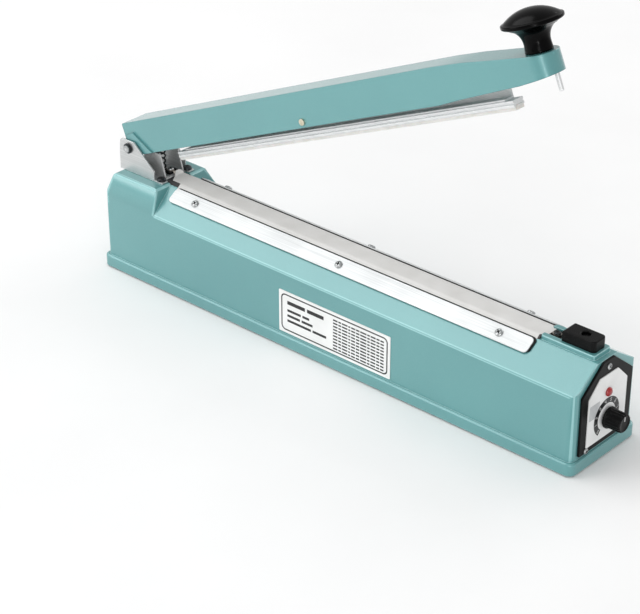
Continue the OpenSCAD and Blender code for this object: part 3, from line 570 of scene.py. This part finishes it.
def coil_path(x, low, high, radius, turns, steps):
    """Helix round a vertical line at x, in metres from sizes in mm."""
    path = []
    for i in range(turns * steps + 1):
        a = 2 * math.pi * i / steps
        path.append(Vector(((x + radius * math.cos(a)) * MM, radius * math.sin(a) * MM,
                            (low + (high - low) * i / (turns * steps)) * MM)))
    return path


def recessed_head(bm, radius, height, matrix, recess=0.56, segments=40):
    """Pan head with a flared skirt, a crowned top and a tapered cross recess in the second material, a
    painted shade.
    """
    rows = [(1.0, 0.0), (1.0, 0.35), (0.97, 0.52), (0.9, 0.7), (0.8, 0.83), (0.68, 0.92), (0.56, 0.97),
            (0.48, 0.985), (0.4, 0.99), (0.32, 1.0), (0.24, 1.0), (0.16, 1.0), (0.08, 1.0)]
    arm_width = recess * 0.2
    depth = 0.55
    sunk = set()
    rings = []
    for k, z in rows:
        ring = []
        for i in range(segments):
            a = 2 * math.pi * i / segments
            x, y = k * math.cos(a), k * math.sin(a)
            across, along = min(abs(x), abs(y)), max(abs(x), abs(y))
            inside = across < arm_width and along < recess
            drop = depth * min(1.0, (recess - k) / recess * 2.5) if inside and z > 0.9 else 0.0
            point = Vector((x * radius * MM, y * radius * MM, (z - drop) * height * MM))
            ring.append(bm.verts.new(matrix @ point))
            if drop > 0:
                sunk.add(ring[-1])
        rings.append(ring)
    for low, high in zip(rings, rings[1:]):
        for i in range(segments):
            n = (i + 1) % segments
            face = bm.faces.new((low[i], low[n], high[n], high[i]))
            # Recess faces take the second material: painted shade in the cross
            face.material_index = 1 if low[i] in sunk or high[i] in sunk or high[n] in sunk else 0
    centre = bm.verts.new(matrix @ Vector((0, 0, 0.45 * height * MM)))
    for i in range(segments):
        bm.faces.new((rings[-1][i], rings[-1][(i + 1) % segments], centre)).material_index = 1
    bm.faces.new(list(reversed(rings[0])))


def add_shank(bm, radius, length, matrix):
    lathe(bm, [(radius * 0.6, -length), (radius, -length + 1.2), (radius, 0.0)], 20, matrix)


# ---- painted shells ----

def pale_edges(bm, low=12.2):
    """Gives the rounded edges of the casing the paler paint, a painted highlight, by the way that each
    face looks.
    """
    mains = [Vector(v).normalized() for v in (
        (1, 0, 0), (0, 1, 0), (0, 0, 1), (0, SLOPE_K, 1), (0, 20.8, 11), (20.8, 0, 7), (20.8, 0, 3),
        (0.065, 0, 1))]
    bm.normal_update()
    for f in bm.faces:
        n = Vector((abs(f.normal.x), abs(f.normal.y), abs(f.normal.z)))
        if n.z < 0.03:
            highlight = abs(math.degrees(math.atan2(n.y, n.x)) - 45) < 9
        else:
            highlight = all(n.angle(m) > math.radians(5) for m in mains)
        if highlight and f.calc_center_median().z * 1000 > low:
            f.material_index = 1


def casing_shell():
    bm = node_bmesh("casing")

    def on_flange(e, m, d):
        outside = abs(m.y) > 44.5 or m.x < -281.5 or m.x > 263.5
        return abs(m.z - FLANGE_TOP) < 0.3 and abs(d.z) < 0.1 and outside

    def on_panel_end(e, m, d):
        near_rim = abs(m.y) > 41 or m.z > SHOULDER_Z + (BODY_HALF - abs(m.y)) * SLOPE_K - 2.0
        return (abs(m.x - BODY_RIGHT) < 0.2 and m.z > 14 and e.calc_length() > 0.004
                and abs(d.x) < 0.1 and near_rim)

    def on_pad(e, m, d):
        outside = abs(m.y) > 8.0 or m.x < 205 or m.x > 256
        return abs(m.z - PAD_Z) < 0.2 and abs(d.z) < 0.1 and outside

    def on_block_end(e, m, d):
        return (TURRET_END - 8 < m.x < TURRET_END + 1 and 70 < m.z < 93 and abs(m.y) > 30
                and e.calc_length() > 0.006)

    soften(bm, 1.8, on_flange, 4)
    soften(bm, 1.3, on_panel_end, 3)
    soften(bm, 0.9, on_pad, 3)
    soften(bm, 2.6, on_block_end, 4)
    # Rounded edges take the paler paint as a painted highlight
    pale_edges(bm)
    piece("casing_shell", mesh_from("casing_shell", bm), "base", ["paint", "paint_highlight"],
          ["casing"], 20, True)


def arm_shell():
    bm = node_bmesh("arm_channel")
    inverse = arm_matrix().inverted()

    def on_top(e, m, d):
        p = inverse @ (m * MM) * 1000
        rim = abs(p.y) > 15.6 or p.x > 498
        at_grip = abs(p.x - GRIP_U) <= 6 and abs(p.y) <= 6
        return p.z > 14.5 and p.x > -2 and rim and not at_grip

    soften(bm, 0.9, on_top, 3, 35)
    # The arm's paint has a painted shade line along its edges
    piece("arm_shell", mesh_from("arm_shell", bm), "arm", "paint_arm", ["arm_channel"], 24, True)


def bevelled(node, body, material, width, wanted, segments=2, least=30.0, angle=32):
    """A CAD node with its wanted edges rounded off."""
    bm = node_bmesh(node)
    soften(bm, width, wanted, segments, least)
    return piece(node + "_detail", mesh_from(node, bm), body, material, [node], angle, True)


# ---- knob ----

def handle_grip():
    """Turned knob: a stem that flares under the head, a short rim and a flattened dome."""
    hole_r, hole_depth = 2.95, 19.0
    profile = [(hole_r, 0.0), (10.9, 0.0), (11.3, 0.2), (11.4, 0.7), (11.15, 2.5), (10.95, 4.6)]
    for i in range(13):
        a = math.radians(75 * i / 12)
        profile.append((10.8 + 11.6 * (1 - math.cos(a)), 7 + 13.4 * math.sin(a)))
    profile += [(20.9, 21.1), (22.9, 21.75), (24.3, 22.3), (24.95, 22.7), (25.25, 23.2), (GRIP_R, 23.8),
                (GRIP_R, 24.9), (25.2, 25.35), (24.9, 25.7), (24.4, 25.9)]
    for k in (0.93, 0.88, 0.82, 0.75, 0.67, 0.59, 0.51, 0.42, 0.33, 0.25, 0.18, 0.12, 0.07, 0.03):
        profile.append((k * GRIP_R, GRIP_RIM_Z + (GRIP_H - GRIP_RIM_Z) * (1 - k ** 2.2)))
    profile.append((0.0, GRIP_H))
    place = arm_matrix(GRIP_U, 0, GRIP_V, GRIP_LEAN)
    bm = bmesh.new()
    lathe(bm, profile, 96, place, close_start=False)
    # Blind hole for the bolt
    lathe(bm, [(0.0, hole_depth), (hole_r, hole_depth), (hole_r, 0.0)], 96, place, close_end=False)
    bmesh.ops.remove_doubles(bm, verts=bm.verts, dist=1e-6)
    piece("handle_grip", mesh_from("handle_grip", bm), "arm", "black_gloss",
          ["handle_knob"], 60)


# ---- cloth over the element ----

def element_cloth():
    """One sheet bent over the heater bed.

    Its tongue climbs onto the element's end, and its long edges go down the slopes under the plates.
    """
    reach = 18.3
    end = PAD_X + 3.8
    flat_z = BED_Z + 0.30
    tongue_z = TURRET_Z + 5.5
    tongue_x = TURRET_END - 16.0
    over = [k * BED_HALF for k in (0.0, 0.3, 0.62, 0.8, 0.86, 0.92, 1.0)]
    down = [BED_HALF + (reach - BED_HALF) * k for k in (0.06, 0.14, 0.3, 0.5, 0.75, 1.0)]
    across = [-y for y in reversed(over[1:] + down)] + over + down
    count = 170

    def first(y):
        """Where the slanting cut starts at this distance across."""
        return tongue_x + 0.62 * max(0.0, 4.0 - y) + 0.5 * max(0.0, y - 4.0)

    def height(x, y, start):
        """Height of the sheet, with a little slack at its ends."""
        rise = max(0.0, min(1.0, (TURRET_END - 11.4 - x) / 3.6))
        rise = rise * rise * (3 - 2 * rise)
        slope = SHOULDER_Z + (BODY_HALF - abs(y)) * SLOPE_K + 0.14
        z = min(slope, flat_z)
        z -= 0.10 * max(0.0, 1 - abs(abs(y) - BED_HALF) / 0.7)
        z += (tongue_z - flat_z) * rise * (1.0 - 0.25 * abs(y) / BED_HALF)
        loose = math.exp(-((x - start) / 16.0) ** 2) + 0.7 * math.exp(-((x - end) / 9.0) ** 2) + 0.12
        if abs(y) < BED_HALF:
            z += 0.14 * loose * (1 + math.sin(0.9 * y + 0.21 * x)) * (1 - (y / BED_HALF) ** 2)
        return z

    bm = bmesh.new()
    grid = []
    for i in range(count + 1):
        row = []
        # Stations crowd together over the tongue
        t = i / count
        share = 0.10 * min(1.0, t / 0.25) if t < 0.25 else 0.10 + 0.90 * (t - 0.25) / 0.75
        for y in across:
            start = first(max(-BED_HALF, min(BED_HALF, y)))
            x = start + (end - start) * share
            z = height(x, y, start)
            if x < TURRET_END + 2.6 or x > PAD_X - 0.6:
                # Past the plates the sheet is only as wide as the bed or the terminal
                limit = 9.4 if x < 0 else 6.0
                if abs(y) > limit:
                    y = math.copysign(limit, y)
                    z = max(z, flat_z - 0.06)
            row.append(bm.verts.new((x * MM, y * MM, z * MM)))
        grid.append(row)
    for a, b in zip(grid, grid[1:]):
        for k in range(len(across) - 1):
            bm.faces.new((a[k], b[k], b[k + 1], a[k + 1]))
    bmesh.ops.remove_doubles(bm, verts=bm.verts, dist=2e-5)
    area = sum(f.calc_area() for f in bm.faces)
    cloth = piece("element_cloth", mesh_from("element_cloth", bm), "base", "cloth",
                  ["ptfe_cloth"], 22)


# ---- spring, screws and small metal parts ----

def return_coil():
    """Return spring between the ears."""
    low, high, wire = TURRET_Z + 4, HINGE_Z + 26, 0.78
    bm = bmesh.new()
    tube(bm, coil_path(HINGE_X + 19.5, low, high, 5.2, 9, 36), wire * MM, 10)
    coil = piece("return_coil", mesh_from("return_coil", bm), "base", "blackened",
                 ["return_spring"], 60)
    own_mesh(coil)


def plunger_coil():
    """Light spring under the plunger's flange."""
    low, high, wire = RIDGE_Z + 0.4, PAD_Z + 1.9, 0.35
    bm = bmesh.new()
    tube(bm, coil_path(HOLE_X, low, high, 4.15, 4, 30), wire * MM, 8)
    coil = piece("plunger_coil", mesh_from("plunger_coil", bm), "base", "zinc",
                 ["plunger_spring"], 60)
    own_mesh(coil)


def on_slope(x, s, h, side):
    """A point on a sloping face: s up from the shoulder, h out of it."""
    y = BODY_HALF - s * math.cos(SLOPE) + h * math.sin(SLOPE)
    z = SHOULDER_Z + s * math.sin(SLOPE) + h * math.cos(SLOPE)
    return (x, side * y, z)


def cross_screws():
    """Cross-recessed screws. Each group: node, head radius and height, shank radius and length."""
    plate = []
    for side in (-1, 1):
        for i in (-1, 0, 1):
            place = on_slope(JAW_X - 1 + i * PLATE_SCREW_PITCH, PLATE_MID_S, 2.08, side)
            plate.append((place, (0, side * math.sin(SLOPE), math.cos(SLOPE)), 0.4 + i * 0.7 + side * 0.3))
    bracket = [((HINGE_X + x, y * s, TURRET_Z + 1.6), (0, 0, 1), 0.3 * x * s)
               for x, y in ((6.4, 13.5), (38.5, 16.9)) for s in (-1, 1)]
    panel = [((BODY_RIGHT + 2.0, y, z), (1, 0, 0), 0.5 + y * 0.04)
             for y, z in ((0, 86.5), (-25.5, 17.5), (25.5, 17.5))]
    hinge_post = [((HINGE_X + 33.5, 0, TURRET_Z + 1.6 + 1.5 + 2 + 0.8), (0, 0, 1), 0.6)]
    panel_post = [((PAD_X + 9, 0, BED_Z + 0.8), (0, 0, 1), 0.2)]
    groups = (
        ("cover_plate_screws", 3.6, 1.9, 1.45, 9, plate, "zinc"),
        ("hinge_bracket_screws", 4.4, 3.0, 1.8, 9, bracket, "dark_steel"),
        ("panel_screws", 2.8, 1.3, 1.25, 9, panel, "zinc"),
        ("terminal_screws", 3.1, 1.8, 1.55, 14, hinge_post, "zinc"),
        ("terminal_screws", 3.1, 1.8, 1.55, 12, panel_post, "dark_steel"),
    )
    for node, head_r, head_h, shank_r, shank_l, places, finish in groups:
        bm = bmesh.new()
        for place, direction, spin in places:
            m = aim(place, direction, spin)
            recessed_head(bm, head_r, head_h, m)
            add_shank(bm, shank_r, shank_l, m)
        name = node + ("_dark" if places is panel_post else "_detail")
        # The second material, blackened, darkens the cross recesses as painted shade
        piece(name, mesh_from(name, bm), "base", [finish, "blackened"], [node], 35)


# ---- control panel ----

def flat_strip(bm, points, thickness, x):
    """A closed flat outline of (y, z) points in mm, standing a hair off the panel at x."""
    front = [bm.verts.new(((x + thickness) * MM, y * MM, z * MM)) for y, z in points]
    back = [bm.verts.new((x * MM, y * MM, z * MM)) for y, z in points]
    bm.faces.new(front)
    bridge(bm, back, front)


def arc_points(bm, x, radius, start, stop, steps):
    """Points along an arc round the dial's axis, at x in mm."""
    points = []
    for i in range(steps + 1):
        a = math.radians(start + (stop - start) * i / steps)
        points.append(bm.verts.new((x * MM, radius * math.cos(a) * MM,
                                    (DIAL_Z + radius * math.sin(a)) * MM)))
    return points


# Strokes of a plain seven-stroke numeral, on a grid one wide and two high
SEGMENTS = {"0": "abcdef", "1": "bc", "2": "abged", "3": "abgcd", "4": "fgbc", "5": "afgcd",
            "6": "afgedc", "7": "abc", "8": "abcdefg"}
STROKES = {"a": ((0, 2), (1, 2)), "b": ((1, 2), (1, 1)), "c": ((1, 1), (1, 0)), "d": ((0, 0), (1, 0)),
           "e": ((0, 1), (0, 0)), "f": ((0, 2), (0, 1)), "g": ((0, 1), (1, 1))}


def stroke(bm, p, q, width, x, depth):
    d = Vector((q[0] - p[0], q[1] - p[1]))
    d = d.normalized() if d.length > 0 else Vector((1, 0))
    n = Vector((-d.y, d.x)) * width / 2
    d = d * width / 2
    flat_strip(bm, [(p[0] - d.x + n.x, p[1] - d.y + n.y), (p[0] - d.x - n.x, p[1] - d.y - n.y),
                    (q[0] + d.x - n.x, q[1] + d.y - n.y), (q[0] + d.x + n.x, q[1] + d.y + n.y)],
               depth, x)


def dial_scale():
    """Black arc round the knob with white numbers, and a plain grey patch beside the lamp."""
    start, stop, steps = -30.0, 232.0, 72
    inner_r, outer_r, number_r = 12.3, 17.6, 14.95
    top, foot, ink = FACE_X + 0.06, FACE_X + 0.005, FACE_X + 0.065
    bm = bmesh.new()
    outer = arc_points(bm, top, outer_r, start, stop, steps)
    inner = arc_points(bm, top, inner_r, start, stop, steps)
    outer_foot = arc_points(bm, foot, outer_r, start, stop, steps)
    inner_foot = arc_points(bm, foot, inner_r, start, stop, steps)
    for i in range(steps):
        bm.faces.new((outer[i], outer[i + 1], inner[i + 1], inner[i]))
        bm.faces.new((outer[i], outer_foot[i], outer_foot[i + 1], outer[i + 1]))
        bm.faces.new((inner[i], inner[i + 1], inner_foot[i + 1], inner_foot[i]))
    piece("dial_scale_band", mesh_from("dial_scale_band", bm), "base", "panel_print", (), 30)

    first_angle, pitch, size, line = 222, 30.2, 1.4, 0.42
    bm = bmesh.new()
    for i in range(9):
        a = math.radians(first_angle - pitch * i)
        cy, cz = number_r * math.cos(a), DIAL_Z + number_r * math.sin(a)
        turn = a - math.pi / 2
        for key in SEGMENTS[str(i)]:
            ends = []
            for px, pz in STROKES[key]:
                lx, lz = (px - 0.5) * size, (pz - 1.0) * size
                ends.append((cy + lx * math.cos(turn) - lz * math.sin(turn),
                             cz + lx * math.sin(turn) + lz * math.cos(turn)))
            stroke(bm, ends[0], ends[1], line, ink, 0.05)
    piece("dial_scale_numbers", mesh_from("dial_scale_numbers", bm), "base", "panel", (), 30)

    bm = bmesh.new()
    flat_strip(bm, rounded_box((-18.0, 52.0), (7.0, 7.0), 1.0, 5), 0.05, foot)
    piece("panel_patch", mesh_from("panel_patch", bm), "base", "panel_grey", (), 30)


def turning_knob():
    """Skirted knob with a finely fluted grip, a shallow dish in its face and a white pointer line."""
    base_x = FACE_X + 2.1
    length = DIAL_TIP - base_x
    grip_r, flute, flutes, count = 8.6, 0.62, 18, 144
    bore_r, shaft_r, shaft_depth = 6.3, 2.02, 11.0
    dish_r, dish_floor = 7.2, length - 0.45
    place = Matrix.Translation(Vector((base_x, 0, DIAL_Z)) * MM)
    place = place @ Matrix.Rotation(math.radians(90), 4, "Y")
    bm = bmesh.new()
    lathe(bm, [(bore_r, 0.0), (9.3, 0.0), (9.6, 0.3), (9.6, 1.8), (9.3, 2.3), (8.8, 2.55), (8.2, 2.6)],
          96, place, close_start=False, close_end=False)
    rings = []
    for h, k in ((2.55, 1.0), (3.4, 1.0), (length - 2.2, 0.985), (length - 0.9, 0.965),
                 (length - 0.3, 0.92), (length, 0.84)):
        fluted = 3.0 < h < length - 0.2
        ring = []
        for i in range(count):
            a = 2 * math.pi * i / count
            r = grip_r * k - (flute * 0.5 * (1 + math.cos(flutes * a)) if fluted else 0)
            ring.append(bm.verts.new(place @ Vector((r * MM * math.cos(a), r * MM * math.sin(a), h * MM))))
        rings.append(ring)
    for low, high in zip(rings, rings[1:]):
        bridge(bm, low, high)
    lathe(bm, [(dish_r, length), (6.9, length - 0.02), (6.4, length - 0.35), (3.0, dish_floor),
               (0.0, dish_floor)], count, place, close_start=False)
    bridge(bm, rings[-1], ring_of(bm, place, dish_r, length, count))
    # Hollow underside and the shaft's hole
    lathe(bm, [(bore_r, 0.0), (bore_r, 1.9), (shaft_r, 1.9), (shaft_r, shaft_depth), (0.0, shaft_depth)],
          48, place, close_start=False)
    bmesh.ops.remove_doubles(bm, verts=bm.verts, dist=2e-6)
    piece("turning_knob", mesh_from("turning_knob", bm), "dial", "black_matte",
          ["control_knob"], 35)

    line_low, line_high, line_x = 2.2, 6.3, DIAL_TIP - 0.44
    middle = Vector((line_x + 0.1, 0, DIAL_Z + (line_low + line_high) / 2)) * MM
    size = Matrix.Diagonal((0.2 * MM, 0.8 * MM, (line_high - line_low) * MM, 1))
    bm = bmesh.new()
    bmesh.ops.create_cube(bm, size=1.0, matrix=Matrix.Translation(middle) @ size)
    bmesh.ops.bevel(bm, geom=bm.edges[:], offset=0.04 * MM, segments=2, affect="EDGES")
    piece("pointer_line", mesh_from("pointer_line", bm), "dial", "panel", (), 30)


def lamp_lens():
    """Domed lens with shallow rings cut into it, on a thin collar."""
    barrel_r, lens_r, crown = 3.3, 4.0, 9.14
    place = Matrix.Translation(Vector((FACE_X - 6, 0, LAMP_Z)) * MM)
    place = place @ Matrix.Rotation(math.radians(90), 4, "Y")
    profile = [(0.0, 0.0), (barrel_r, 0.0), (barrel_r, 6.05), (lens_r, 6.05), (lens_r, 6.7)]
    for i in range(1, 18):
        a = math.radians(5 * i)
        ripple = 0.06 * math.cos(i * math.pi)
        profile.append((lens_r * math.cos(a), 6.8 + (2.4 + ripple) * math.sin(a) - 0.06))
    profile.append((0.0, crown))
    bm = bmesh.new()
    lathe(bm, profile, 48, place)
    piece("lamp_lens", mesh_from("lamp_lens", bm), "base", "lamp",
          ["pilot_lamp"], 50)


# ---- label ----

def label_plate():
    """Thin plate of the label, with nearly square corners."""
    outline = rounded_box(LABEL_MIDDLE, LABEL_HALF, 1.0, 6)
    bm = bmesh.new()
    back, front = [[bm.verts.new((x * MM, depth * MM, z * MM)) for x, z in outline]
                   for depth in (-(BODY_HALF + 0.05), LABEL_Y + 0.01)]
    bm.faces.new(front)
    bm.faces.new(list(reversed(back)))
    bridge(bm, back, front)
    piece("label_plate", mesh_from("label_plate", bm), "base", "label", ["rating_label"], 30)


def label_print():
    """Generic marks only: a rounded border and broken bars."""
    ink_front, ink_back = LABEL_Y - 0.04, LABEL_Y + 0.03
    bm = bmesh.new()

    def ring(outline, y):
        return [bm.verts.new((x * MM, y * MM, z * MM)) for x, z in outline]

    def bar(x0, z0, x1, z1):
        outline = [(x0, z0), (x1, z0), (x1, z1), (x0, z1)]
        front, back = ring(outline, ink_front), ring(outline, ink_back)
        bm.faces.new(front)
        bridge(bm, front, back)

    outer = rounded_box(LABEL_MIDDLE, (61.8, 18.4), 4.8, 8)
    inner = rounded_box(LABEL_MIDDLE, (60.5, 17.1), 3.6, 8)
    outer_front, inner_front = ring(outer, ink_front), ring(inner, ink_front)
    bridge(bm, outer_front, inner_front)
    bridge(bm, ring(outer, ink_back), outer_front)
    bridge(bm, inner_front, ring(inner, ink_back))

    # Broken bars where a label has its title, its ratings and a note
    start = LABEL_LEFT + 10
    for x0, x1 in ((0, 21), (23.5, 43)):
        bar(start + x0, LABEL_HIGH - 12.4, start + x1, LABEL_HIGH - 8.8)
    for i, (first, second) in enumerate(((16, 26), (15, 30), (28, 46))):
        z = LABEL_HIGH - 18.4 - i * 5.2
        bar(start, z - 1.2, start + first, z + 1.2)
        bar(start + first + 2, z - 1.2, start + second, z + 1.2)
    words = (5.2, 3.1, 6.4, 2.2, 4.6, 3.8, 7.0, 2.8, 5.6, 3.4, 4.2)
    used = 0
    for row in range(10):
        z = LABEL_HIGH - 7.6 - row * 3.15
        x = LABEL_LEFT + 64
        while x < LABEL_RIGHT - 9:
            end = min(x + words[used % len(words)], LABEL_RIGHT - 7)
            bar(x, z - 0.75, end, z + 0.75)
            x = end + 1.0
            used += 1
    piece("label_marks", mesh_from("label_marks", bm), "base", "label_print", (), 30)


# ---- finishes of the CAD nodes that stay ----

BY_NODE = {
    "silicone_strip": "silicone", "bar_holder": "steel_arm", "bottom_plate": "underside",
    "switch_rod": "polished_bar", "switch_rod_nuts": "zinc", "bottom_plate_screws": "zinc",
    "transformer_screws": "zinc", "bar_screw": "brass", "hinge_pin": "zinc",
    "spring_bracket": "bracket_steel", "front_gasket": "black_matte", "rear_gasket": "black_matte",
}


def dress_nodes():
    for node, obj in NODES.items():
        name = BY_NODE.get(node, SLOT_OF[node])
        obj.data.materials.clear()
        obj.data.materials.append(MAT[name])


def build():
    dress_nodes()
    casing_shell()
    arm_shell()
    bevelled("switch_block", "base", "black_matte", 1.0,
             lambda e, m, d: m.z > PAD_Z + 1 or abs(d.z) > 0.9, 3)
    bevelled("panel_bezel", "base", "black_matte", 0.7,
             lambda e, m, d: abs(m.x - (BODY_RIGHT + 2.0)) < 0.1 and e.calc_length() > 0.0005
             and max(abs(m.y) - 30, abs(m.z - 50) - 30) > 0)
    bevelled("hinge_bracket", "base", "bracket_steel", 0.35, lambda e, m, d: e.calc_length() > 0.003)
    bevelled("pressure_bar", "arm", "polished_bar", 0.4, lambda e, m, d: e.calc_length() > 0.05)
    for node in ("front_cover_plate", "rear_cover_plate"):
        bevelled(node, "base", "polished_plate", 0.3, lambda e, m, d: e.calc_length() > 0.0003, 2, 40)
    handle_grip()
    element_cloth()
    return_coil()
    plunger_coil()
    cross_screws()
    dial_scale()
    turning_knob()
    lamp_lens()
    label_plate()
    label_print()


def add_floor():
    reach = 6
    mesh = bpy.data.meshes.new("floor")
    mesh.from_pydata([(-reach, -reach, 0), (reach, -reach, 0), (reach, reach, 0), (-reach, reach, 0)],
                     [], [(0, 1, 2, 3)])
    mesh.materials.append(make_material("floor", "f2f2f2", "f6f6f6", (0.6, 0.7), 4, 200, 0.02, 0.0001,
                                        edge=0))
    floor = bpy.data.objects.new("floor", mesh)
    bpy.context.scene.collection.objects.link(floor)


add_camera()
add_studio()
build()
add_floor()
